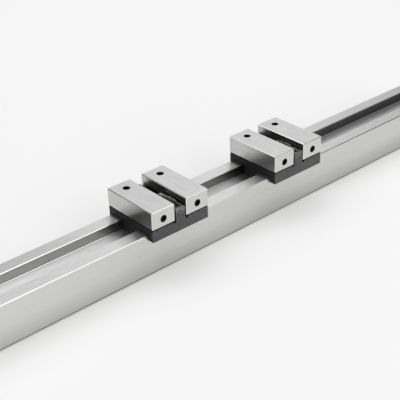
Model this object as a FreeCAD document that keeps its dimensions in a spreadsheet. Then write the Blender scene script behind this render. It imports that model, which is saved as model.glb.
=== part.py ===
import FreeCAD, Part
import os
import Sketcher

# Profiled steel guide rail with two short carriages riding on it.
# Frame: +X along the rail, +Z up, front of the carriages towards -Y,
# origin at the middle of the rail's underside. All lengths in millimetres.

V = FreeCAD.Vector
doc = FreeCAD.newDocument("linear_guide")

# ---------------------------------------------------------------- dimensions
DIMS = [
    # rail section and length
    ("rail_length", 440.0),
    ("rail_width", 34.0),
    ("rail_height", 27.0),
    ("lip_width", 9.0),
    ("groove_depth", 6.6),
    ("groove_fillet", 0.5),
    ("lip_chamfer", 0.45),
    ("foot_chamfer", 0.6),
    ("end_chamfer", 0.5),
    # tapped holes in the rail's underside
    ("screw_count", 6),
    ("screw_pitch", 80.0),
    ("screw_drill", 6.8),
    ("screw_depth", 14.0),
    ("screw_mouth", 7.6),
    # carriages
    ("carriage_offset", 49.2),
    ("carriage_length", 42.4),
    ("carriage_width", 41.5),
    ("block_seat", 31.05),
    ("block_length", 16.85),
    ("block_height", 11.45),
    ("block_chamfer", 0.45),
    ("top_drill", 4.2),
    ("top_depth", 7.5),
    ("top_mouth", 4.6),
    ("top_back", 13.0),
    ("front_drill", 4.2),
    ("front_depth", 11.0),
    ("front_mouth", 4.6),
    ("front_rise", 5.1),
    # polymer saddle
    ("saddle_inset", 0.15),
    ("running_gap", 0.3),
    ("skirt_bottom", 22.9),
    ("keel_chamfer", 1.0),
    ("saddle_edge", 0.3),
    ("seat_step", 0.45),
    ("seat_inset", 0.8),
    ("tongue_width", 7.1),
    ("tongue_height", 2.6),
    ("relief_radius", 1.0),
    ("relief_out", 0.3),
    ("relief_drop", 0.6),
    # moulded strip in the slot
    ("insert_height", 5.5),
    ("insert_length", 41.2),
    ("ridge_radius", 1.5),
    ("ridge_spacing", 3.9),
]

sheet = doc.addObject("Spreadsheet::Sheet", "dims")
for row, (name, value) in enumerate(DIMS, start=1):
    sheet.set("A%d" % row, name)
    sheet.set("B%d" % row, str(value))
    sheet.setAlias("B%d" % row, name)
doc.recompute()


def dim(name):
    return float(getattr(sheet, name))


def evaluate(expr):
    """Number that an expression on the sheet gives at present."""
    return float(sheet.evalExpression(expr.replace("dims.", "")))


# ------------------------------------------------------------------- helpers
def plane(body, role):
    for feature in body.Origin.OriginFeatures:
        if feature.Role == role:
            return feature
    raise RuntimeError("no %s in %s" % (role, body.Label))


def new_body(label):
    body = doc.addObject("PartDesign::Body", label)
    body.Label = label
    return body


def new_sketch(body, name, role, offset=None):
    sketch = body.newObject("Sketcher::SketchObject", name)
    sketch.AttachmentSupport = [(plane(body, role), "")]
    sketch.MapMode = "FlatFace"
    if offset:
        sketch.setExpression("AttachmentOffset.Base.z", offset)
    return sketch


def pin_coordinate(sketch, kind, geo, pos, expr):
    """Hold one coordinate of a sketch point at the value of an expression."""
    value = evaluate(expr)
    if abs(value) < 1e-9:
        axis = -2 if kind == "DistanceX" else -1
        sketch.addConstraint(Sketcher.Constraint("PointOnObject", geo, pos, axis))
        return
    if value > 0:
        index = sketch.addConstraint(Sketcher.Constraint(kind, -1, 1, geo, pos, value))
        sketch.setExpression("Constraints[%d]" % index, expr)
    else:
        index = sketch.addConstraint(Sketcher.Constraint(kind, geo, pos, -1, 1, -value))
        sketch.setExpression("Constraints[%d]" % index, "-(%s)" % expr)


def polygon(sketch, corners):
    """Closed outline whose corners are given as pairs of expressions."""
    points = [V(evaluate(a), evaluate(b), 0) for a, b in corners]
    count = len(points)
    first = sketch.GeometryCount
    for i in range(count):
        sketch.addGeometry(Part.LineSegment(points[i], points[(i + 1) % count]), False)
    for i in range(count):
        sketch.addConstraint(Sketcher.Constraint(
            "Coincident", first + i, 2, first + (i + 1) % count, 1))
    for i, (a, b) in enumerate(corners):
        pin_coordinate(sketch, "DistanceX", first + i, 1, a)
        pin_coordinate(sketch, "DistanceY", first + i, 1, b)


def circle(sketch, a, b, radius):
    geo = sketch.addGeometry(
        Part.Circle(V(evaluate(a), evaluate(b), 0), V(0, 0, 1), evaluate(radius)), False)
    index = sketch.addConstraint(Sketcher.Constraint("Radius", geo, evaluate(radius)))
    sketch.setExpression("Constraints[%d]" % index, radius)
    pin_coordinate(sketch, "DistanceX", geo, 3, a)
    pin_coordinate(sketch, "DistanceY", geo, 3, b)


def pad(body, name, sketch, length, symmetric=False):
    feature = body.newObject("PartDesign::Pad", name)
    feature.Profile = sketch
    feature.SideType = "Symmetric" if symmetric else "One side"
    feature.setExpression("Length", length)
    doc.recompute()
    return feature


def edges_where(shape, test):
    """Names of the straight or curved edges that pass a test."""
    names = []
    for i, edge in enumerate(shape.Edges, start=1):
        if test(edge):
            names.append("Edge%d" % i)
    return names


def along(edge, axis):
    a, b = edge.Vertexes[0].Point, edge.Vertexes[-1].Point
    d = b - a
    return d.Length > 1e-6 and abs(abs(d.normalize().dot(axis)) - 1) < 1e-6


def middle(edge):
    return edge.CenterOfMass


def chamfer(body, name, base, names, size):
    if not names:
        raise RuntimeError("%s: no edges" % name)
    feature = body.newObject("PartDesign::Chamfer", name)
    feature.Base = (base, names)
    feature.setExpression("Size", size)
    doc.recompute()
    return feature


def fillet(body, name, base, names, radius):
    if not names:
        raise RuntimeError("%s: no edges" % name)
    feature = body.newObject("PartDesign::Fillet", name)
    feature.Base = (base, names)
    feature.setExpression("Radius", radius)
    doc.recompute()
    return feature


def tapped_hole(body, name, sketch, drill, depth, mouth, reverse=False):
    """Blind drilled hole with a 118 degree point and a 90 degree mouth."""
    doc.recompute()
    before = body.Shape.Volume
    feature = body.newObject("PartDesign::Hole", name)
    feature.Profile = sketch
    feature.ThreadType = "None"
    feature.DepthType = "Dimension"
    feature.DrillPoint = "Angled"
    feature.DrillPointAngle = 118.0
    feature.DrillForDepth = False
    feature.HoleCutType = "Countersink"
    feature.HoleCutCustomValues = True
    feature.HoleCutCountersinkAngle = 90.0
    feature.Reversed = reverse
    feature.setExpression("Diameter", drill)
    feature.setExpression("Depth", depth)
    feature.setExpression("HoleCutDiameter", mouth)
    doc.recompute()
    body.Tip = feature
    doc.recompute()
    if not body.Shape.Volume < before - 1.0:
        raise RuntimeError("%s removed nothing" % name)
    return feature


X_AXIS, Y_AXIS, Z_AXIS = V(1, 0, 0), V(0, 1, 0), V(0, 0, 1)


def near(value, target, tol=1e-3):
    return abs(value - target) < tol


# ---------------------------------------------------------------------- rail
# One ground bar: two flat lips with a square groove between them, tapped from
# below on the usual pitch.
def make_rail():
    body = new_body("rail")
    half, lip = "dims.rail_width / 2", "(dims.rail_width / 2 - dims.lip_width)"
    top = "dims.rail_height"
    floor = "(dims.rail_height - dims.groove_depth)"
    section = new_sketch(body, "rail_section", "YZ_Plane")
    polygon(section, [
        ("-(%s)" % half, "0"),
        (half, "0"),
        (half, top),
        (lip, top),
        (lip, floor),
        ("-%s" % lip, floor),
        ("-%s" % lip, top),
        ("-(%s)" % half, top),
    ])
    doc.recompute()
    bar = pad(body, "rail_bar", section, "dims.rail_length", symmetric=True)

    half_w, lip_y = dim("rail_width") / 2, dim("rail_width") / 2 - dim("lip_width")
    height, floor_z = dim("rail_height"), dim("rail_height") - dim("groove_depth")

    round_names = edges_where(bar.Shape, lambda e: along(e, X_AXIS)
                              and near(abs(middle(e).y), lip_y) and near(middle(e).z, floor_z))
    bar = fillet(body, "groove_corners", bar, round_names, "dims.groove_fillet")

    lip_names = edges_where(bar.Shape, lambda e: along(e, X_AXIS) and near(middle(e).z, height))
    bar = chamfer(body, "lip_edges", bar, lip_names, "dims.lip_chamfer")

    foot_names = edges_where(bar.Shape, lambda e: along(e, X_AXIS)
                             and near(abs(middle(e).y), half_w) and near(middle(e).z, 0))
    bar = chamfer(body, "foot_edges", bar, foot_names, "dims.foot_chamfer")

    half_l = dim("rail_length") / 2
    end_names = edges_where(bar.Shape, lambda e: near(abs(middle(e).x), half_l))
    bar = chamfer(body, "end_edges", bar, end_names, "dims.end_chamfer")
    body.Tip = bar

    mark = new_sketch(body, "screw_place", "XY_Plane")
    circle(mark, "-(dims.screw_pitch * (dims.screw_count - 1) / 2)", "0", "dims.screw_drill / 2")
    hole = tapped_hole(body, "screw_hole", mark, "dims.screw_drill", "dims.screw_depth",
                       "dims.screw_mouth", reverse=True)
    one_hole = bar.Shape.Volume - hole.Shape.Volume

    row = body.newObject("PartDesign::LinearPattern", "screw_row")
    row.Originals = [hole]
    row.Direction = (plane(body, "X_Axis"), [""])
    row.setExpression("Length", "dims.screw_pitch * (dims.screw_count - 1)")
    row.setExpression("Occurrences", "dims.screw_count")
    body.Tip = row
    doc.recompute()
    cut = bar.Shape.Volume - body.Shape.Volume
    if not near(cut / one_hole, dim("screw_count"), 1e-3):
        raise RuntimeError("screw row: %.3f holes" % (cut / one_hole))
    return body


# -------------------------------------------------------------------- blocks
# Plain ground block lying across the rail, tapped once in its top near the
# back and once in its front end. Its own frame sits at the middle of its seat.
def make_block(label, place):
    body = new_body(label)
    outline = new_sketch(body, label + "_outline", "XY_Plane")
    hl, hw = "dims.block_length / 2", "dims.carriage_width / 2"
    polygon(outline, [
        ("-(%s)" % hl, "-(%s)" % hw), (hl, "-(%s)" % hw),
        (hl, hw), ("-(%s)" % hl, hw),
    ])
    doc.recompute()
    bar = pad(body, label + "_bar", outline, "dims.block_height")
    bar = chamfer(body, label + "_edges", bar,
                  edges_where(bar.Shape, lambda e: True), "dims.block_chamfer")
    body.Tip = bar

    top = new_sketch(body, label + "_top_place", "XY_Plane", "dims.block_height")
    circle(top, "0", "dims.top_back", "dims.top_drill / 2")
    tapped_hole(body, label + "_top_hole", top, "dims.top_drill", "dims.top_depth",
                "dims.top_mouth")

    front = new_sketch(body, label + "_front_place", "XZ_Plane", "dims.carriage_width / 2")
    circle(front, "0", "dims.front_rise", "dims.front_drill / 2")
    tapped_hole(body, label + "_front_hole", front, "dims.front_drill", "dims.front_depth",
                "dims.front_mouth")

    body.setExpression("Placement.Base.x", place)
    body.setExpression("Placement.Base.z", "dims.block_seat")
    doc.recompute()
    return body


# -------------------------------------------------------------------- saddle
# Moulded polymer base: a plate over the lips, a skirt down each side of the
# rail, a keel in the groove and a low tongue between the two blocks.
def make_saddle(label, place):
    body = new_body(label)
    half = "(dims.carriage_width / 2 - dims.saddle_inset)"
    inner = "(dims.rail_width / 2 + dims.running_gap)"
    keel = "(dims.rail_width / 2 - dims.lip_width - dims.running_gap)"
    under = "(dims.rail_height + dims.running_gap)"
    keel_z = "(dims.rail_height - dims.groove_depth + dims.running_gap)"
    top, skirt = "dims.block_seat", "dims.skirt_bottom"
    section = new_sketch(body, label + "_section", "YZ_Plane")
    polygon(section, [
        ("-%s" % half, skirt),
        ("-%s" % inner, skirt),
        ("-%s" % inner, under),
        ("-%s" % keel, under),
        ("-%s" % keel, "(%s + dims.keel_chamfer)" % keel_z),
        ("-(%s - dims.keel_chamfer)" % keel, keel_z),
        ("(%s - dims.keel_chamfer)" % keel, keel_z),
        (keel, "(%s + dims.keel_chamfer)" % keel_z),
        (keel, under),
        (inner, under),
        (inner, skirt),
        (half, skirt),
        (half, "(%s - dims.seat_step)" % top),
        ("-%s" % half, "(%s - dims.seat_step)" % top),
    ])
    doc.recompute()
    plate = pad(body, label + "_plate", section,
                "dims.carriage_length - 2 * dims.saddle_inset", symmetric=True)

    half_y = dim("carriage_width") / 2 - dim("saddle_inset")
    half_x = dim("carriage_length") / 2 - dim("saddle_inset")
    skirt_z, seat_z = dim("skirt_bottom"), dim("block_seat")
    names = edges_where(plate.Shape, lambda e: (
        along(e, Z_AXIS) and near(abs(middle(e).x), half_x) and near(abs(middle(e).y), half_y))
        or (along(e, X_AXIS) and near(middle(e).z, skirt_z) and near(abs(middle(e).y), half_y))
        or (along(e, Y_AXIS) and near(middle(e).z, skirt_z)))
    plate = chamfer(body, label + "_edges", plate, names, "dims.saddle_edge")
    body.Tip = plate

    # Low seat under the blocks, set back so that their lower edges stand clear.
    seat = new_sketch(body, label + "_seat_outline", "XY_Plane", "%s - dims.seat_step" % top)
    sx = "(dims.carriage_length / 2 - dims.saddle_inset - dims.seat_inset)"
    sy = "(%s - dims.seat_inset)" % half
    polygon(seat, [("-%s" % sx, "-%s" % sy), (sx, "-%s" % sy), (sx, sy), ("-%s" % sx, sy)])
    doc.recompute()
    body.Tip = pad(body, label + "_seat", seat, "dims.seat_step")

    rib = new_sketch(body, label + "_tongue_section", "XZ_Plane")
    hw = "dims.tongue_width / 2"
    polygon(rib, [
        ("-(%s)" % hw, "(%s - 1)" % top), (hw, "(%s - 1)" % top),
        (hw, "(%s + dims.tongue_height)" % top), ("-(%s)" % hw, "(%s + dims.tongue_height)" % top),
    ])
    doc.recompute()
    tongue = pad(body, label + "_tongue", rib,
                 "dims.carriage_width - 2 * dims.saddle_inset", symmetric=True)
    body.Tip = tongue
    doc.recompute()
    before = body.Shape.Volume

    # Round reliefs in the plate's top, under the blocks' inner lower edges.
    aside = "((dims.carriage_length - 2 * dims.block_length) / 2 + dims.relief_out)"
    below = "(%s - dims.relief_drop)" % top
    notch = new_sketch(body, label + "_relief_place", "XZ_Plane")
    circle(notch, "-%s" % aside, below, "dims.relief_radius")
    circle(notch, aside, below, "dims.relief_radius")
    doc.recompute()
    relief = body.newObject("PartDesign::Pocket", label + "_reliefs")
    relief.Profile = notch
    relief.SideType = "Symmetric"
    relief.setExpression("Length", "dims.carriage_width + 2")
    body.Tip = relief
    doc.recompute()
    if not body.Shape.Volume < before - 1.0:
        raise RuntimeError("%s: reliefs removed nothing" % label)

    body.setExpression("Placement.Base.x", place)
    doc.recompute()
    return body


# -------------------------------------------------------------------- insert
# Moulded strip on the tongue: two round ridges side by side run the whole
# length of the slot. Its own frame sits at the middle of its underside.
def make_insert(label, place):
    body = new_body(label)
    outline = new_sketch(body, label + "_section", "XZ_Plane")
    hw = "dims.tongue_width / 2"
    shoulder = "(dims.insert_height - dims.ridge_radius)"
    polygon(outline, [
        ("-(%s)" % hw, "0"), (hw, "0"), (hw, shoulder), ("-(%s)" % hw, shoulder),
    ])
    doc.recompute()
    strip = pad(body, label + "_strip", outline, "dims.insert_length", symmetric=True)
    body.Tip = strip
    doc.recompute()
    before = body.Shape.Volume

    rounds = new_sketch(body, label + "_ridge_section", "XZ_Plane")
    circle(rounds, "-(dims.ridge_spacing / 2)", shoulder, "dims.ridge_radius")
    circle(rounds, "dims.ridge_spacing / 2", shoulder, "dims.ridge_radius")
    doc.recompute()
    ridges = pad(body, label + "_ridges", rounds, "dims.insert_length", symmetric=True)
    body.Tip = ridges
    doc.recompute()
    if not body.Shape.Volume > before + 1.0:
        raise RuntimeError("%s: ridges added nothing" % label)

    body.setExpression("Placement.Base.x", place)
    body.setExpression("Placement.Base.z", "dims.block_seat + dims.tongue_height")
    doc.recompute()
    return body


# ------------------------------------------------------------------ assembly
parts = [make_rail()]
reach = "(dims.carriage_length - dims.block_length) / 2"
for number, sign in ((1, "-"), (2, "")):
    centre = "%sdims.carriage_offset" % sign
    left, right = "%s - %s" % (centre, reach), "%s + %s" % (centre, reach)
    outer, inner = (left, right) if number == 1 else (right, left)
    stem = "carriage_%d_" % number
    parts.append(make_saddle(stem + "base", centre))
    parts.append(make_block(stem + "outer_block", outer))
    parts.append(make_block(stem + "inner_block", inner))
    parts.append(make_insert(stem + "insert", centre))

doc.recompute()
for obj in doc.Objects:
    bad = [s for s in obj.State if "Invalid" in s or "Error" in s]
    if bad:
        raise RuntimeError("%s: %s" % (obj.Label, obj.State))
for obj in parts:
    shape = obj.Shape
    if shape.isNull() or not shape.isValid() or len(shape.Solids) != 1:
        raise RuntimeError("%s: bad shape" % obj.Label)

os.makedirs("parts", exist_ok=True)
for obj in parts:
    obj.Shape.exportStep("parts/%s.step" % obj.Label)
    box = obj.Shape.BoundBox
    print("%-26s %10.1f mm3  x %.2f..%.2f  y %.2f..%.2f  z %.2f..%.2f" % (
        obj.Label, obj.Shape.Volume, box.XMin, box.XMax, box.YMin, box.YMax, box.ZMin, box.ZMax))
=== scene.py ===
import math

import bpy
from mathutils import Matrix, Vector, noise


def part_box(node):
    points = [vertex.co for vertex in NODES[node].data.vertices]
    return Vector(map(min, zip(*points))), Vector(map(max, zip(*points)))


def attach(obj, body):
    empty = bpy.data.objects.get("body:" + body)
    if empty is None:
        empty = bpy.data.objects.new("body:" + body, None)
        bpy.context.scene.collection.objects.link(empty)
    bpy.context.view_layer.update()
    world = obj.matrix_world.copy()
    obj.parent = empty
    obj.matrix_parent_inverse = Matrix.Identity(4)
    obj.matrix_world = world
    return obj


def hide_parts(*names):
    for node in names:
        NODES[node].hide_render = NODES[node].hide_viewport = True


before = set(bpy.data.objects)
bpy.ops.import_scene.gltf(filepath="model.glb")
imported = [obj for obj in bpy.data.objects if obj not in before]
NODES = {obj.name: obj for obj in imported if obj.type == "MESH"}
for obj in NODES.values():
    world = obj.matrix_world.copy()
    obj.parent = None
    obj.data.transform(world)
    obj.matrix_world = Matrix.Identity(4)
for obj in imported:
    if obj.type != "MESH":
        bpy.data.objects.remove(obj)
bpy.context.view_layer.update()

scene = bpy.context.scene
MM = 0.001

# Places of the tapped holes, in metres. The blocks lie symmetrically about the
# middle of the rail and about the middle of their carriage.
CARRIAGE_X = 0.0492
BLOCK_X = 0.012775
FRONT_Y, FRONT_Z = -0.02075, 0.03615
TOP_Y, TOP_Z = 0.0130, 0.0425
BORE, BLOCK_MOUTH = 0.0021, 0.0023
RAIL_BORE, RAIL_MOUTH = 0.0034, 0.0038
RAIL_PITCH = 0.080
SEAT_X, SEAT_Y = 0.2194, 0.0163


# ------------------------------------------------------------- node helpers
class Tree:
    """Small helper that adds and links shader nodes."""

    def __init__(self, owner):
        owner.use_nodes = True
        self.tree = owner.node_tree
        self.tree.nodes.clear()

    def add(self, kind, **values):
        node = self.tree.nodes.new(kind)
        for key, value in values.items():
            setattr(node, key, value)
        return node

    def link(self, source, target):
        self.tree.links.new(source, target)

    def feed(self, socket, value):
        if hasattr(value, "is_linked"):
            self.link(value, socket)
        else:
            socket.default_value = value

    def math(self, op, a, b=None, c=None, clamp=False):
        node = self.add("ShaderNodeMath", operation=op, use_clamp=clamp)
        for socket, value in zip(node.inputs, (a, b, c)):
            if value is not None:
                self.feed(socket, value)
        return node.outputs[0]

    def ramp(self, value, low, high, out_low=0.0, out_high=1.0, smooth=True):
        node = self.add("ShaderNodeMapRange",
                        interpolation_type="SMOOTHSTEP" if smooth else "LINEAR")
        self.link(value, node.inputs["Value"])
        node.inputs["From Min"].default_value = low
        node.inputs["From Max"].default_value = high
        node.inputs["To Min"].default_value = out_low
        node.inputs["To Max"].default_value = out_high
        return node.outputs["Result"]

    def split(self, vector):
        node = self.add("ShaderNodeSeparateXYZ")
        self.link(vector, node.inputs[0])
        return node.outputs

    def length2(self, a, b):
        """Length of a plane vector with the two parts a and b."""
        return self.math("SQRT", self.math("ADD", self.math("MULTIPLY", a, a), self.math("MULTIPLY", b, b)))

    def noise(self, vector, scale, stretch=(1, 1, 1), detail=2.0, rough=0.5, shift=(0, 0, 0)):
        mapping = self.add("ShaderNodeMapping")
        mapping.inputs["Scale"].default_value = stretch
        mapping.inputs["Location"].default_value = shift
        self.link(vector, mapping.inputs["Vector"])
        node = self.add("ShaderNodeTexNoise")
        node.inputs["Scale"].default_value = scale
        node.inputs["Detail"].default_value = detail
        node.inputs["Roughness"].default_value = rough
        self.link(mapping.outputs["Vector"], node.inputs["Vector"])
        return node.outputs["Fac"]

    def colour_mix(self, fac, a, b, mode="MIX"):
        node = self.add("ShaderNodeMix", data_type="RGBA", blend_type=mode)
        self.feed(node.inputs[0], fac)
        self.feed(node.inputs[6], a)
        self.feed(node.inputs[7], b)
        return node.outputs[2]

    def mix(self, fac, a, b):
        node = self.add("ShaderNodeMix", data_type="FLOAT")
        self.feed(node.inputs[0], fac)
        self.feed(node.inputs[2], a)
        self.feed(node.inputs[3], b)
        return node.outputs[0]


# ---------------------------------------------------------------- materials
def ground_steel(name, light, dark, along, rough, stretch, seed, bores, zones, grain):
    """Ground steel: fine parallel grinding lines along one axis that spread the gloss
    across them, soft cloudy tone, edges a little more polished, painted shade in the bores and on their mouths."""
    mat = bpy.data.materials.new(name)
    t = Tree(mat)
    source = t.add("ShaderNodeTexCoord")
    coord = source.outputs["Object"]
    x, y, z = t.split(coord)
    shift = (seed * 0.37, seed * 0.11, seed * 0.23)
    fine = [5200.0, 5200.0, 5200.0]
    streak = [1150.0, 1150.0, 1150.0]
    fine["XYZ".index(along)] = 60.0
    streak["XYZ".index(along)] = 14.0
    lines = t.noise(coord, 1.0, tuple(fine), detail=3.0, rough=0.6, shift=shift)
    bands = t.noise(coord, 1.0, tuple(streak), detail=2.0, rough=0.55, shift=shift)
    cloud = t.noise(coord, 55.0, (1, 1, 1), detail=3.0, rough=0.55, shift=shift)
    hatch = [1250.0, 1250.0, 1250.0]
    hatch["XYZ".index(along)] = 110.0
    scratch = t.noise(coord, 1.0, tuple(hatch), detail=2.0, rough=0.65, shift=shift)

    tone = t.math("ADD", t.math("MULTIPLY", bands, 0.45),
                  t.math("ADD", t.math("MULTIPLY", cloud, 0.15), t.math("MULTIPLY", lines, 0.40)))
    colour = t.colour_mix(t.ramp(tone, 0.32, 0.68), dark, light)
    spread = t.math("ADD", t.math("MULTIPLY", bands, 0.03), t.math("MULTIPLY", cloud, 0.02))
    roughness = t.math("ADD", spread, rough - 0.025)

    nx, ny, nz = t.split(source.outputs["Normal"])
    slant = t.math("MAXIMUM", t.math("ABSOLUTE", t.math("MULTIPLY", ny, nz)),
                   t.math("MAXIMUM", t.math("ABSOLUTE", t.math("MULTIPLY", nx, nz)),
                          t.math("ABSOLUTE", t.math("MULTIPLY", nx, ny))))
    edge = t.ramp(slant, 0.3, 0.45)
    for mask, zone_colour, zone_rough in zones(t, (x, y, z), (nx, ny, nz)):
        grained = t.colour_mix(t.ramp(tone, 0.32, 0.68), tuple(0.93 * c for c in zone_colour[:3]) + (1,), zone_colour)
        colour = t.colour_mix(mask, colour, grained)
        roughness = t.mix(mask, roughness, t.math("ADD", spread, zone_rough - 0.025))
    up = t.ramp(nz, 0.75, 0.95)
    colour = t.colour_mix(up, colour, (0.995, 0.994, 1.034, 1), "MULTIPLY")
    hatched = t.colour_mix(t.ramp(scratch, 0.36, 0.64), (0.88, 0.88, 0.88, 1), (1.12, 1.12, 1.12, 1))
    colour = t.colour_mix(t.mix(up, *grain), colour, hatched, "MULTIPLY")
    polished = t.math("MULTIPLY", edge, t.math("GREATER_THAN", nz, -0.3))
    colour = t.colour_mix(polished, colour, (0.715, 0.715, 0.695, 1))
    roughness = t.mix(edge, roughness, rough * 0.75)

    # Painted shade: the bores are coloured near black, and their mouths darker and duller.
    hole, mouth = bores(t, x, y, z)
    colour = t.colour_mix(mouth, colour, (0.20, 0.20, 0.19, 1))
    colour = t.colour_mix(hole, colour, (0.012, 0.012, 0.010, 1))
    roughness = t.mix(mouth, roughness, 0.45)

    height = t.math("ADD", lines, t.math("MULTIPLY", bands, 0.2))
    bump = t.add("ShaderNodeBump")
    bump.inputs["Strength"].default_value = 0.008
    bump.inputs["Distance"].default_value = 0.00003
    t.link(height, bump.inputs["Height"])

    shader = t.add("ShaderNodeBsdfPrincipled")
    shader.inputs["Metallic"].default_value = 1.0
    shader.inputs["Anisotropic"].default_value = stretch
    across = t.add("ShaderNodeTangent", direction_type="RADIAL", axis=along)
    t.link(across.outputs["Tangent"], shader.inputs["Tangent"])
    t.link(colour, shader.inputs["Base Color"])
    t.link(roughness, shader.inputs["Roughness"])
    t.link(bump.outputs["Normal"], shader.inputs["Normal"])
    out = t.add("ShaderNodeOutputMaterial")
    t.link(shader.outputs["BSDF"], out.inputs["Surface"])
    return mat


def block_bores(t, x, y, z):
    """Masks of the blocks' tapped holes: 1 in the bores, and 1 in bores and mouths."""
    u = t.math("SUBTRACT", t.math("ABSOLUTE", t.math("SUBTRACT", t.math("ABSOLUTE", x), CARRIAGE_X)), BLOCK_X)
    from_front = t.length2(u, t.math("SUBTRACT", z, FRONT_Z))
    from_top = t.length2(u, t.math("SUBTRACT", y, TOP_Y))
    masks = []
    for reach, top_reach in ((BORE + 0.00004, BLOCK_MOUTH - 0.00002), (BLOCK_MOUTH + 0.00002, BLOCK_MOUTH + 0.00002)):
        front = t.math("MULTIPLY", t.math("LESS_THAN", from_front, reach), t.math("LESS_THAN", y, -0.004))
        top = t.math("MULTIPLY", t.math("LESS_THAN", from_top, top_reach), t.math("GREATER_THAN", z, 0.0322))
        masks.append(t.math("MAXIMUM", front, top))
    return masks


def rail_bores(t, x, y, z):
    """Masks of the rail's tapped holes: 1 in the bores, and 1 in bores and mouths."""
    u = t.math("SUBTRACT", t.math("WRAP", x, RAIL_PITCH, 0.0), RAIL_PITCH / 2)
    away = t.length2(u, y)
    below = t.math("LESS_THAN", z, 0.0185)
    return [t.math("MULTIPLY", t.math("LESS_THAN", away, reach), below)
            for reach in (RAIL_BORE + 0.00004, RAIL_MOUTH + 0.00002)]


def rail_zones(t, place, normal):
    """The groove is milled and not ground, with a duller floor. Its walls are darker with painted shade, deeper
    towards the right end, and the floor has a painted shade strip along its back at the right. The back lip's top has
    painted shade at the left end. The sides get painted shade towards the foot and end in a painted dark contact line."""
    aside = t.math("LESS_THAN", t.math("ABSOLUTE", place[1]), 0.0086)
    # Painted shade: the groove walls are coloured darker than the rest of the rail.
    wall = t.math("MULTIPLY", aside, t.ramp(t.math("ABSOLUTE", normal[1]), 0.75, 0.95))
    floor = t.math("MULTIPLY", t.math("MULTIPLY", aside, t.ramp(normal[2], 0.75, 0.95)),
                   t.math("LESS_THAN", place[2], 0.0225))
    # Painted contact shadow: the downward foot chamfers are near black below 1 mm.
    down = t.math("MULTIPLY", normal[2], -1.0)
    foot = t.math("MULTIPLY", t.math("MULTIPLY", t.ramp(down, 0.4, 0.6), t.ramp(down, 0.95, 0.8)),
                  t.math("LESS_THAN", place[2], 0.0010))
    side = t.math("MULTIPLY", t.ramp(t.math("ABSOLUTE", normal[1]), 0.75, 0.95),
                  t.math("GREATER_THAN", t.math("ABSOLUTE", place[1]), 0.016))
    # Painted shade: the sides get darker towards the foot.
    painted_foot_shade = t.math("MULTIPLY", side, t.ramp(place[2], 0.015, 0.002))
    # Painted contact shadow: a dark band along the bottom of the sides.
    sole = t.math("MULTIPLY", side, t.ramp(place[2], 0.0012, 0.0007))
    # Painted shade: the groove walls get darker still towards the right end.
    painted_wall_shade_right = t.math("MULTIPLY", wall, t.ramp(place[0], -0.090, 0.110))
    # Painted shade: the back lip's top is darker towards the left end.
    lip = t.math("MULTIPLY", t.math("MULTIPLY", t.ramp(normal[2], 0.75, 0.95), t.math("GREATER_THAN", place[2], 0.0262)),
                 t.math("MULTIPLY", t.math("GREATER_THAN", place[1], 0.0075), t.ramp(place[0], -0.070, -0.125)))
    # Painted shade: a darker strip along the back of the groove floor towards the right end.
    strip = t.math("MULTIPLY", t.math("MULTIPLY", floor, t.ramp(place[1], 0.0005, 0.0055)), t.ramp(place[0], 0.030, 0.100))
    return [(painted_foot_shade, (0.595, 0.596, 0.568, 1), 0.30), (sole, (0.20, 0.20, 0.195, 1), 0.40), (wall, (0.38, 0.38, 0.370, 1), 0.22), (painted_wall_shade_right, (0.175, 0.175, 0.174, 1), 0.22),
            (floor, (0.70, 0.70, 0.675, 1), 0.45), (strip, (0.50, 0.50, 0.490, 1), 0.45), (lip, (0.595, 0.598, 0.572, 1), 0.28),
            (foot, (0.03, 0.03, 0.029, 1), 0.50)]


def block_zones(t, place, normal):
    """The blocks' long sides are duller than their tops, with painted shade towards the lower front
    corner (deeper on carriage 1's blocks), and darkest in the slot with painted shade, where a painted reflection
    lightens the back end."""
    side = t.ramp(t.math("ABSOLUTE", normal[0]), 0.75, 0.95)
    off = t.math("ABSOLUTE", t.math("SUBTRACT", t.math("ABSOLUTE", place[0]), CARRIAGE_X))
    # Painted shade: the block faces in the slot between the two blocks are dark.
    slot = t.math("MULTIPLY", side, t.math("LESS_THAN", off, 0.0048))
    # Painted reflection: the slot faces are lighter again near their back end.
    painted_slot_reflection = t.math("MULTIPLY", slot, t.ramp(place[1], 0.0135, 0.0178))
    # Painted shade: the long sides darken towards the lower front corner, more on carriage 1's blocks.
    slope = t.math("SUBTRACT", t.math("MULTIPLY", t.math("SUBTRACT", 0.037, place[2]), 1.2), place[1])
    painted_corner_shade = t.math("MULTIPLY", side, t.ramp(slope, 0.0, 0.017))
    steep = t.math("SUBTRACT", t.math("MULTIPLY", t.math("SUBTRACT", 0.037, place[2]), 1.6), place[1])
    painted_corner_shade_carriage_1 = t.math("MULTIPLY", t.math("MULTIPLY", side, t.math("LESS_THAN", place[0], 0.0)), t.ramp(steep, 0.0045, 0.0095))
    return [(side, (0.60, 0.602, 0.578, 1), 0.34), (painted_corner_shade, (0.30, 0.302, 0.292, 1), 0.34), (painted_corner_shade_carriage_1, (0.215, 0.217, 0.210, 1), 0.34), (slot, (0.27, 0.27, 0.272, 1), 0.27),
            (painted_slot_reflection, (0.50, 0.50, 0.485, 1), 0.30)]


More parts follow.
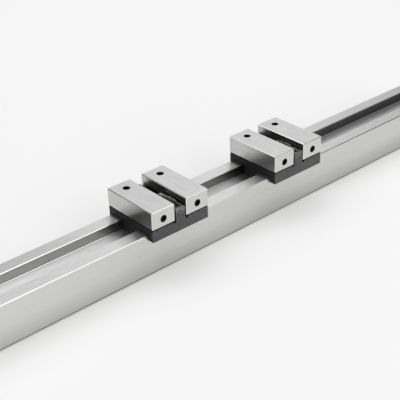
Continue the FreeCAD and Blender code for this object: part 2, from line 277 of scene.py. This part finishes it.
def moulded_polymer(name, light, dark, rough, grain, bump_depth, gloss):
    """Moulded polymer: faint eroded tool texture, slightly uneven colour, dull ends darkened with painted shade."""
    mat = bpy.data.materials.new(name)
    t = Tree(mat)
    source = t.add("ShaderNodeTexCoord")
    coord = source.outputs["Object"]
    fine = t.noise(coord, grain, detail=3.0, rough=0.6)
    cloud = t.noise(coord, 110.0, detail=3.0, rough=0.6)
    speckle = t.noise(coord, 900.0, detail=2.0, rough=0.65)
    tone = t.math("ADD", t.math("MULTIPLY", fine, 0.5), t.math("MULTIPLY", cloud, 0.5))
    colour = t.colour_mix(t.ramp(tone, 0.3, 0.7), dark, light)
    roughness = t.math("ADD", t.math("MULTIPLY", cloud, 0.12), rough - 0.06)
    # Painted shade: the end faces are coloured darker, and duller.
    end = t.ramp(t.math("ABSOLUTE", t.split(source.outputs["Normal"])[0]), 0.75, 0.95)
    colour = t.colour_mix(end, colour, (0.012, 0.0115, 0.013, 1))
    roughness = t.mix(end, roughness, 0.55)
    bump = t.add("ShaderNodeBump")
    bump.inputs["Strength"].default_value = 0.35
    bump.inputs["Distance"].default_value = bump_depth
    t.link(fine, bump.inputs["Height"])
    shader = t.add("ShaderNodeBsdfPrincipled")
    t.link(t.mix(end, t.ramp(speckle, 0.34, 0.66, gloss * 0.78, gloss * 1.22), 0.25), shader.inputs["Specular IOR Level"])
    t.link(colour, shader.inputs["Base Color"])
    t.link(roughness, shader.inputs["Roughness"])
    t.link(bump.outputs["Normal"], shader.inputs["Normal"])
    out = t.add("ShaderNodeOutputMaterial")
    t.link(shader.outputs["BSDF"], out.inputs["Surface"])
    return mat


def greased_strip(name):
    """Uneven greenish strip: pale crests with painted highlight (paler on carriage 1's), dark hollows and back part
    with painted shade, a greyer front end that darkens towards its bottom and has painted shade on carriage 2's.
    """
    mat = bpy.data.materials.new(name)
    t = Tree(mat)
    source = t.add("ShaderNodeTexCoord")
    coord = source.outputs["Object"]
    x, y, z = t.split(coord)
    ny = t.split(source.outputs["Normal"])[1]
    patch = t.noise(coord, 420.0, (1.0, 0.55, 1.0), detail=3.0, rough=0.6)
    fleck = t.noise(coord, 1500.0, (1.0, 0.6, 1.0), detail=2.0, rough=0.6)
    uneven = t.math("ADD", t.math("MULTIPLY", t.math("SUBTRACT", patch, 0.5), 1.6),
                    t.math("MULTIPLY", t.math("SUBTRACT", fleck, 0.5), 1.3))
    # Painted highlight and shade: the top's colour follows its height, pale on the crests and near black in the
    # hollows.
    raised = t.ramp(z, 0.0362, 0.0376, 0.25, 1.0)
    level = t.math("ADD", t.ramp(z, 0.0367, 0.0386), t.math("MULTIPLY", uneven, raised))
    # Painted shade: darker along the top's front edge and over its back part.
    far = t.ramp(y, 0.0002, 0.0032)
    near = t.ramp(y, -0.0178, -0.0192)
    level = t.math("SUBTRACT", level, t.math("MULTIPLY", near, 0.40))
    level = t.math("SUBTRACT", level, t.math("MULTIPLY", far, 0.9), clamp=True)
    # Painted highlight: carriage 1's crests are paler towards the middle of the strip.
    second = t.math("GREATER_THAN", x, 0.0)
    painted_highlight_carriage_1 = t.math("MULTIPLY", t.ramp(y, -0.0075, -0.0025), t.math("SUBTRACT", 1.0, second))
    pale = t.colour_mix(painted_highlight_carriage_1, (0.185, 0.190, 0.150, 1), (0.39, 0.395, 0.325, 1))
    low = t.colour_mix(t.ramp(level, 0.10, 0.60), (0.010, 0.011, 0.007, 1), (0.070, 0.075, 0.050, 1))
    colour = t.colour_mix(t.ramp(level, 0.55, 1.0), low, pale)
    end = t.math("MULTIPLY", t.ramp(ny, -0.5, -0.85), t.math("LESS_THAN", y, -0.0190))
    mottle = t.noise(coord, 900.0, (1.0, 1.0, 0.8), detail=2.0, rough=0.6)
    rise = t.math("ADD", t.ramp(z, 0.0328, 0.0384, -0.1, 1.0),
                  t.math("MULTIPLY", t.math("SUBTRACT", t.ramp(mottle, 0.40, 0.60), 0.5), 1.1), clamp=True)
    # Painted shade: the front face's top is darker on carriage 2's strip; the face darkens towards its bottom.
    top = t.colour_mix(second, (0.185, 0.191, 0.168, 1), (0.105, 0.110, 0.098, 1))
    face = t.colour_mix(rise, (0.040, 0.041, 0.040, 1), top)
    colour = t.colour_mix(end, colour, face)
    roughness = t.math("ADD", t.math("MULTIPLY", patch, 0.25), 0.20)
    bump = t.add("ShaderNodeBump")
    bump.inputs["Strength"].default_value = 0.4
    bump.inputs["Distance"].default_value = 0.00008
    t.link(fleck, bump.inputs["Height"])
    shader = t.add("ShaderNodeBsdfPrincipled")
    t.link(colour, shader.inputs["Base Color"])
    t.link(roughness, shader.inputs["Roughness"])
    t.link(bump.outputs["Normal"], shader.inputs["Normal"])
    out = t.add("ShaderNodeOutputMaterial")
    t.link(shader.outputs["BSDF"], out.inputs["Surface"])
    return mat


def thread_steel(name):
    """Cut thread: flanks coloured near black as painted shade inside the bores, with a slightly uneven sheen."""
    mat = bpy.data.materials.new(name)
    t = Tree(mat)
    coord = t.add("ShaderNodeTexCoord").outputs["Object"]
    patch = t.noise(coord, 1500.0, detail=2.0, rough=0.5)
    # Painted shade: near-black thread colour for the shade inside the bores.
    colour = t.colour_mix(t.ramp(patch, 0.3, 0.7), (0.004, 0.004, 0.004, 1), (0.018, 0.018, 0.016, 1))
    shader = t.add("ShaderNodeBsdfPrincipled")
    shader.inputs["Metallic"].default_value = 1.0
    t.link(colour, shader.inputs["Base Color"])
    t.link(t.ramp(patch, 0.2, 0.8, 0.30, 0.48), shader.inputs["Roughness"])
    out = t.add("ShaderNodeOutputMaterial")
    t.link(shader.outputs["BSDF"], out.inputs["Surface"])
    return mat


RAIL = ground_steel("rail_ground_steel", (0.685, 0.688, 0.658, 1), (0.652, 0.655, 0.627, 1), "X", 0.28, 0.9, 1, rail_bores, rail_zones, (0.06, 0.48))
BLOCK = ground_steel("block_ground_steel", (0.655, 0.658, 0.632, 1), (0.612, 0.615, 0.590, 1), "Y", 0.29, 0.3, 2, block_bores, block_zones, (0.45, 0.55))
SADDLE = moulded_polymer("saddle_polymer", (0.023, 0.0215, 0.028, 1), (0.017, 0.016, 0.021, 1), 0.34, 2600.0, 0.00003, 0.8)
STRIP = greased_strip("insert_strip")
THREAD = thread_steel("tapped_thread")


def dress(node, mat):
    obj = NODES[node]
    obj.data.materials.clear()
    obj.data.materials.append(mat)


dress("rail", RAIL)
for number in (1, 2):
    stem = "carriage_%d_" % number
    dress(stem + "base", SADDLE)
    dress(stem + "outer_block", BLOCK)
    dress(stem + "inner_block", BLOCK)
    dress(stem + "insert", STRIP)


def new_piece(name, verts, faces, mat, body, smooth_deg):
    mesh = bpy.data.meshes.new(name)
    mesh.from_pydata(verts, [], faces)
    mesh.validate()
    mesh.update()
    mesh.materials.append(mat)
    mesh.shade_smooth()
    mesh.set_sharp_from_angle(angle=math.radians(smooth_deg))
    obj = bpy.data.objects.new(name, mesh)
    scene.collection.objects.link(obj)
    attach(obj, body)
    return obj


# ------------------------------------------------------------------- inserts
def smoothstep(low, high, value):
    s = min(1.0, max(0.0, (value - low) / (high - low)))
    return s * s * (3.0 - 2.0 * s)


# Path of each strip's pale crest: distance along the slot, then place across it, in mm.
CRESTS = {1: ((-20.6, 2.45), (-17.3, 2.55), (-12.2, 2.65), (-7.1, 2.85), (-3.5, 2.05), (0.3, 1.6), (1.5, 1.6), (20.6, 2.2)),
          2: ((-20.6, 2.7), (-17.3, 2.4), (-14.7, 2.5), (-11.0, 2.8), (-7.8, 3.0), (-3.3, 2.9), (0.0, 2.8), (20.6, 2.4))}


def crest_place(y, number):
    path = CRESTS[number]
    for (y0, x0), (y1, x1) in zip(path, path[1:]):
        if y <= y1:
            return x0 + (x1 - x0) * (y - y0) / (y1 - y0)
    return path[-1][1]


def strip_height(x, y, number):
    """Height of the strip's uneven top over its underside, in mm."""
    shift = Vector((number * 7.3, number * 3.1, number * 1.7))

    def wave(sx, sy, layer):
        return noise.noise(Vector((x / sx, y / sy, layer)) + shift)

    def crease(sx, sy, layer):
        return 1.0 - 2.4 * abs(wave(sx, sy, layer))

    middle = crest_place(y, number) + 0.35 * wave(60.0, 1.7, 4.0)
    broad = 0.88 + 0.45 * math.exp(-((y + 0.2) / 2.3) ** 2) + 0.22 * math.exp(-((y + 8.5) / 2.6) ** 2)
    swell = 1.0 + 0.28 * wave(60.0, 3.1, 7.0) + 0.26 * wave(60.0, 1.3, 8.0)
    swell += (0.24 if number == 1 else 0.16) * math.exp(-((y + 7.5) / 3.0) ** 2)
    right = 2.20 * swell * math.exp(-abs((x - middle) / broad) ** 2.2)
    left = 1.30 * math.exp(-abs((x + 2.45) / 1.10) ** 3.0)
    ripple = 0.40 * wave(1.3, 2.4, 0.0) + 0.36 * crease(0.9, 2.0, 5.0) + 0.24 * crease(0.45, 0.9, 9.0)
    lively = 2.30 + right + left + ripple
    plain = 1.95 + 0.30 * right + 0.25 * left + 0.25 * ripple
    back = smoothstep(0.2, 2.8, y + 1.2 * wave(2.3, 3.4, 1.0))
    height = lively * (1.0 - back) + plain * back
    pocket = math.exp(-(((x - 0.4) / 1.15) ** 2 + ((y + 16.9) / 1.25) ** 2) ** 2)
    height -= 2.2 * pocket
    lip = smoothstep(-19.0, -19.7, y)
    rim = 4.90 - 0.13 * x + 0.25 * crease(0.9, 2.0, 5.0)
    height = height * (1.0 - lip) + rim * lip
    nose = max(0.0, (-19.7 - y) / 0.85)
    height -= 0.35 * nose * nose
    flank = max(abs(x) - 3.05, 0.0) / 0.5
    height -= 0.45 * flank * flank
    return min(5.40, max(0.60, height))


def make_strip(number):
    node = "carriage_%d_insert" % number
    low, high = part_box(node)
    cx, z0 = 1000 * (low.x + high.x) / 2, 1000 * low.z
    half_x, y0, y1 = 3.53, 1000 * low.y + 0.06, 1000 * high.y - 0.06
    nx, ny, nz = 50, 260, 12
    xs = [-half_x + 2 * half_x * i / nx for i in range(nx + 1)]
    ys = [y0 + (y1 - y0) * j / ny for j in range(ny + 1)]
    verts, faces = [], []

    def add(x, y, z):
        verts.append(((cx + x) * MM, y * MM, (z0 + z) * MM))
        return len(verts) - 1

    def bulge(x, y):
        """The soft top swells a little over the gaps beside it."""
        lively = 1.0 - smoothstep(0.5, 4.5, y)
        push = smoothstep(2.4, 3.5, abs(x)) * lively * (0.22 + 0.16 * noise.noise(Vector((x, y / 2.1, 6.0 * number))))
        return x + math.copysign(push, x)

    top = [[add(bulge(x, y), y, strip_height(x, y, number)) for x in xs] for y in ys]
    for j in range(ny):
        for i in range(nx):
            faces.append((top[j][i], top[j][i + 1], top[j + 1][i + 1], top[j + 1][i]))

    def wall(upper, dent):
        """Rows of faces from an upper edge down to the underside."""
        rows = [upper]
        for k in range(1, nz + 1):
            row, share = [], smoothstep(0.0, 0.6, k / nz)
            for index in upper:
                px, py, pz = (1000 * c for c in verts[index])
                px -= cx
                px += (max(-half_x, min(half_x, px)) - px) * share
                z = (pz - z0) * (1.0 - k / nz) + 0.02 * k / nz
                dx, dy = dent(px, py, z) if k < nz else (0.0, 0.0)
                row.append(add(px + dx, py + dy, z))
            rows.append(row)
        for a, b in zip(rows, rows[1:]):
            for i in range(len(upper) - 1):
                faces.append((a[i], b[i], b[i + 1], a[i + 1]))
        return rows

    def lump(x, y, z):
        return 0.5 + 0.5 * noise.noise(Vector((x / 1.1, y / 1.6, z / 0.9 + 4.0 * number)))

    front = wall(top[0], lambda x, y, z: (0.0, 0.28 * lump(x, y, z)))
    right = wall([row[-1] for row in top], lambda x, y, z: (-0.10 * lump(x, y, z), 0.0))
    back = wall(list(reversed(top[-1])), lambda x, y, z: (0.0, -0.05 * lump(x, y, z)))
    left = wall([row[0] for row in reversed(top)], lambda x, y, z: (0.10 * lump(x, y, z), 0.0))
    under = []
    for side in (left, back, right, front):
        under += list(reversed(side[-1]))
    faces.append(tuple(under))
    piece = new_piece("carriage_%d_strip" % number, verts, faces, STRIP, "carriage_%d" % number, 40)
    weld = piece.modifiers.new("weld", "WELD")
    weld.merge_threshold = 0.00001
    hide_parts(node)
    return piece


# ------------------------------------------------------------------- threads
def thread(verts, faces, origin, axis, side, bore, crest, pitch, start, depth):
    """Adds one helical thread ridge inside a bore. All lengths in metres."""
    axis, side = Vector(axis), Vector(side)
    other = axis.cross(side)
    segments = 28
    steps = int(round(depth / pitch * segments))
    base = len(verts)
    for k in range(steps + 1):
        turn = 2.0 * math.pi * k / segments
        run = start + pitch * k / segments
        fade = min(1.0, k / (0.6 * segments), (steps - k) / (0.6 * segments))
        inner = bore - (bore - crest) * fade
        radial = side * math.cos(turn) + other * math.sin(turn)
        for radius, off in ((bore + 0.00005, -0.46), (inner, -0.10), (inner, 0.10), (bore + 0.00005, 0.46)):
            verts.append(tuple(Vector(origin) + radial * radius + axis * (run + off * pitch)))
    for k in range(steps):
        a, b = base + 4 * k, base + 4 * (k + 1)
        for i in range(4):
            n = (i + 1) % 4
            faces.append((a + i, a + n, b + n, b + i))
    faces.append((base + 3, base + 2, base + 1, base))
    last = base + 4 * steps
    faces.append((last, last + 1, last + 2, last + 3))


def make_block_threads(number):
    verts, faces = [], []
    centre = -CARRIAGE_X if number == 1 else CARRIAGE_X
    for x in (centre - BLOCK_X, centre + BLOCK_X):
        thread(verts, faces, (x, FRONT_Y, FRONT_Z), (0, 1, 0), (1, 0, 0), BORE, 0.00184, 0.0008, 0.0008, 0.0096)
        thread(verts, faces, (x, TOP_Y, TOP_Z), (0, 0, -1), (1, 0, 0), BORE, 0.00184, 0.0008, 0.0008, 0.0062)
    new_piece("carriage_%d_threads" % number, verts, faces, THREAD, "carriage_%d" % number, 30)


def make_rail_threads():
    verts, faces = [], []
    for k in range(6):
        thread(verts, faces, ((k - 2.5) * RAIL_PITCH, 0, 0), (0, 0, 1), (1, 0, 0), RAIL_BORE, 0.00302, 0.00125, 0.0011, 0.0118)
    new_piece("rail_threads", verts, faces, THREAD, "rail", 30)


for number in (1, 2):
    make_strip(number)
    make_block_threads(number)
make_rail_threads()


# -------------------------------------------------------------------- stage
def plain_floor():
    """Pale floor round the rail's seat, clear on its lower side so the underside can be seen."""
    size, low = 3.0, -0.00005
    mesh = bpy.data.meshes.new("floor")
    corners = ((-1, -1), (1, -1), (1, 1), (-1, 1))
    mesh.from_pydata([(size * i, size * j, low) for i, j in corners] + [(SEAT_X * i, SEAT_Y * j, low) for i, j in corners], [],
                     [(k, (k + 1) % 4, 4 + (k + 1) % 4, 4 + k) for k in range(4)])
    obj = bpy.data.objects.new("floor", mesh)
    scene.collection.objects.link(obj)
    mat = bpy.data.materials.new("pale_floor")
    t = Tree(mat)
    shader = t.add("ShaderNodeBsdfPrincipled")
    shader.inputs["Base Color"].default_value = (0.90, 0.90, 0.90, 1)
    shader.inputs["Roughness"].default_value = 0.7
    shader.inputs["Specular IOR Level"].default_value = 0.15
    sides = t.add("ShaderNodeMixShader")
    t.link(t.add("ShaderNodeNewGeometry").outputs["Backfacing"], sides.inputs[0])
    t.link(shader.outputs["BSDF"], sides.inputs[1])
    t.link(t.add("ShaderNodeBsdfTransparent").outputs["BSDF"], sides.inputs[2])
    out = t.add("ShaderNodeOutputMaterial")
    t.link(sides.outputs["Shader"], out.inputs["Surface"])
    mesh.materials.append(mat)


plain_floor()


# -------------------------------------------------------------------- light
# Soft lights of the studio: azimuth (0 = back, 90 = right) and elevation in degrees,
# tightness of the soft spot, strength.
SOFT_LIGHTS = (
    (36.0, 5.0, 14.0, 0.20), (108.0, 5.0, 14.0, 0.04), (180.0, 5.0, 14.0, 1.10), (216.0, 5.0, 14.0, 0.15),
    (252.0, 5.0, 14.0, 0.15), (288.0, 5.0, 14.0, 0.15), (90.0, 14.0, 30.0, 0.60),
    (36.0, 24.0, 30.0, 0.71), (60.0, 24.0, 30.0, 0.15), (84.0, 24.0, 30.0, 0.04), (108.0, 24.0, 30.0, 0.04),
    (156.0, 24.0, 30.0, 0.04), (180.0, 24.0, 30.0, 1.25), (204.0, 24.0, 30.0, 0.25), (228.0, 24.0, 30.0, 0.25),
    (252.0, 24.0, 30.0, 0.25), (276.0, 24.0, 30.0, 0.55), (300.0, 24.0, 30.0, 0.50),
    (55.4, 37.0, 30.0, 0.74), (83.1, 37.0, 30.0, 0.04), (110.8, 37.0, 30.0, 0.04), (166.2, 37.0, 30.0, 1.25),
    (193.8, 37.0, 30.0, 0.43), (221.5, 37.0, 30.0, 0.25), (249.2, 37.0, 30.0, 0.25), (276.9, 37.0, 30.0, 0.25),
    (304.6, 37.0, 30.0, 0.40), (325.0, 43.0, 60.0, 1.40), (131.0, 41.0, 60.0, 0.72), (143.0, 47.0, 40.0, 0.28),
    (0.0, 50.0, 30.0, 0.37), (36.0, 50.0, 30.0, 0.34), (144.0, 50.0, 30.0, 0.42), (180.0, 50.0, 30.0, 1.25),
    (0.0, 66.0, 26.0, 2.15), (60.0, 66.0, 26.0, 1.70), (120.0, 66.0, 26.0, 1.60), (180.0, 66.0, 26.0, 1.35),
    (300.0, 66.0, 26.0, 0.32), (0.0, 88.0, 26.0, 0.40),
)
CRISP_BELOW = (325.0, 43.0)      # this one ends sharply at its lower edge
CRISP_ASIDE = (131.0, 41.0)      # and this one at its side


def studio_world():
    """Soft studio: lights overhead, in front and behind, weak ones all round, a pale horizon."""
    world = bpy.data.worlds.new("studio")
    scene.world = world
    t = Tree(world)
    ray = t.add("ShaderNodeTexCoord").outputs["Generated"]
    height = t.split(ray)[2]
    total = None
    for azimuth, elevation, tight, gain in SOFT_LIGHTS:
        a, e = math.radians(azimuth), math.radians(elevation)
        dot = t.add("ShaderNodeVectorMath", operation="DOT_PRODUCT")
        t.link(ray, dot.inputs[0])
        dot.inputs[1].default_value = (math.sin(a) * math.cos(e), math.cos(a) * math.cos(e), math.sin(e))
        spot = t.math("EXPONENT", t.math("MULTIPLY", t.math("SUBTRACT", dot.outputs["Value"], 1.0), tight))
        spot = t.math("MULTIPLY", spot, gain)
        if (azimuth, elevation) == CRISP_BELOW:
            spot = t.math("MULTIPLY", spot, t.ramp(height, math.sin(math.radians(35.0)), math.sin(math.radians(37.0))))
        if (azimuth, elevation) == CRISP_ASIDE:
            edge = math.radians(126.5)
            side = t.add("ShaderNodeVectorMath", operation="DOT_PRODUCT")
            t.link(ray, side.inputs[0])
            side.inputs[1].default_value = (math.cos(edge), -math.sin(edge), 0.0)
            spot = t.math("MULTIPLY", spot, t.ramp(side.outputs["Value"], -0.02, 0.02))
        total = spot if total is None else t.math("ADD", total, spot)
    total = t.math("ADD", total, t.ramp(height, 0.22, 0.05, 0.05, 0.60))
    light = t.add("ShaderNodeBackground")
    light.inputs["Color"].default_value = (1, 1, 1, 1)
    t.link(total, light.inputs["Strength"])
    out = t.add("ShaderNodeOutputWorld")
    t.link(light.outputs["Background"], out.inputs["Surface"])


studio_world()
scene.view_settings.view_transform = "Standard"
scene.view_settings.look = "None"


# ------------------------------------------------------------------- camera
def photo_camera():
    focal_px, frame_px = 932.14, 400.0
    azimuth, elevation, roll = math.radians(-40.697), math.radians(29.900), math.radians(-1.806)
    place = Vector((-0.34106, -0.37728, 0.30762))
    back = Vector((math.sin(azimuth) * math.cos(elevation),
                   -math.cos(azimuth) * math.cos(elevation), math.sin(elevation)))
    right = Vector((0, 0, 1)).cross(back).normalized()
    up = back.cross(right)
    c, s = math.cos(roll), math.sin(roll)
    x_axis, y_axis = c * right + s * up, -s * right + c * up
    data = bpy.data.cameras.new("camera")
    data.sensor_fit = "HORIZONTAL"
    data.sensor_width = 36.0
    data.lens = focal_px / frame_px * 36.0
    data.clip_start, data.clip_end = 0.01, 20.0
    obj = bpy.data.objects.new("camera", data)
    matrix = Matrix((x_axis, y_axis, back)).transposed().to_4x4()
    matrix.translation = place
    obj.matrix_world = matrix
    scene.collection.objects.link(obj)
    scene.camera = obj


photo_camera()
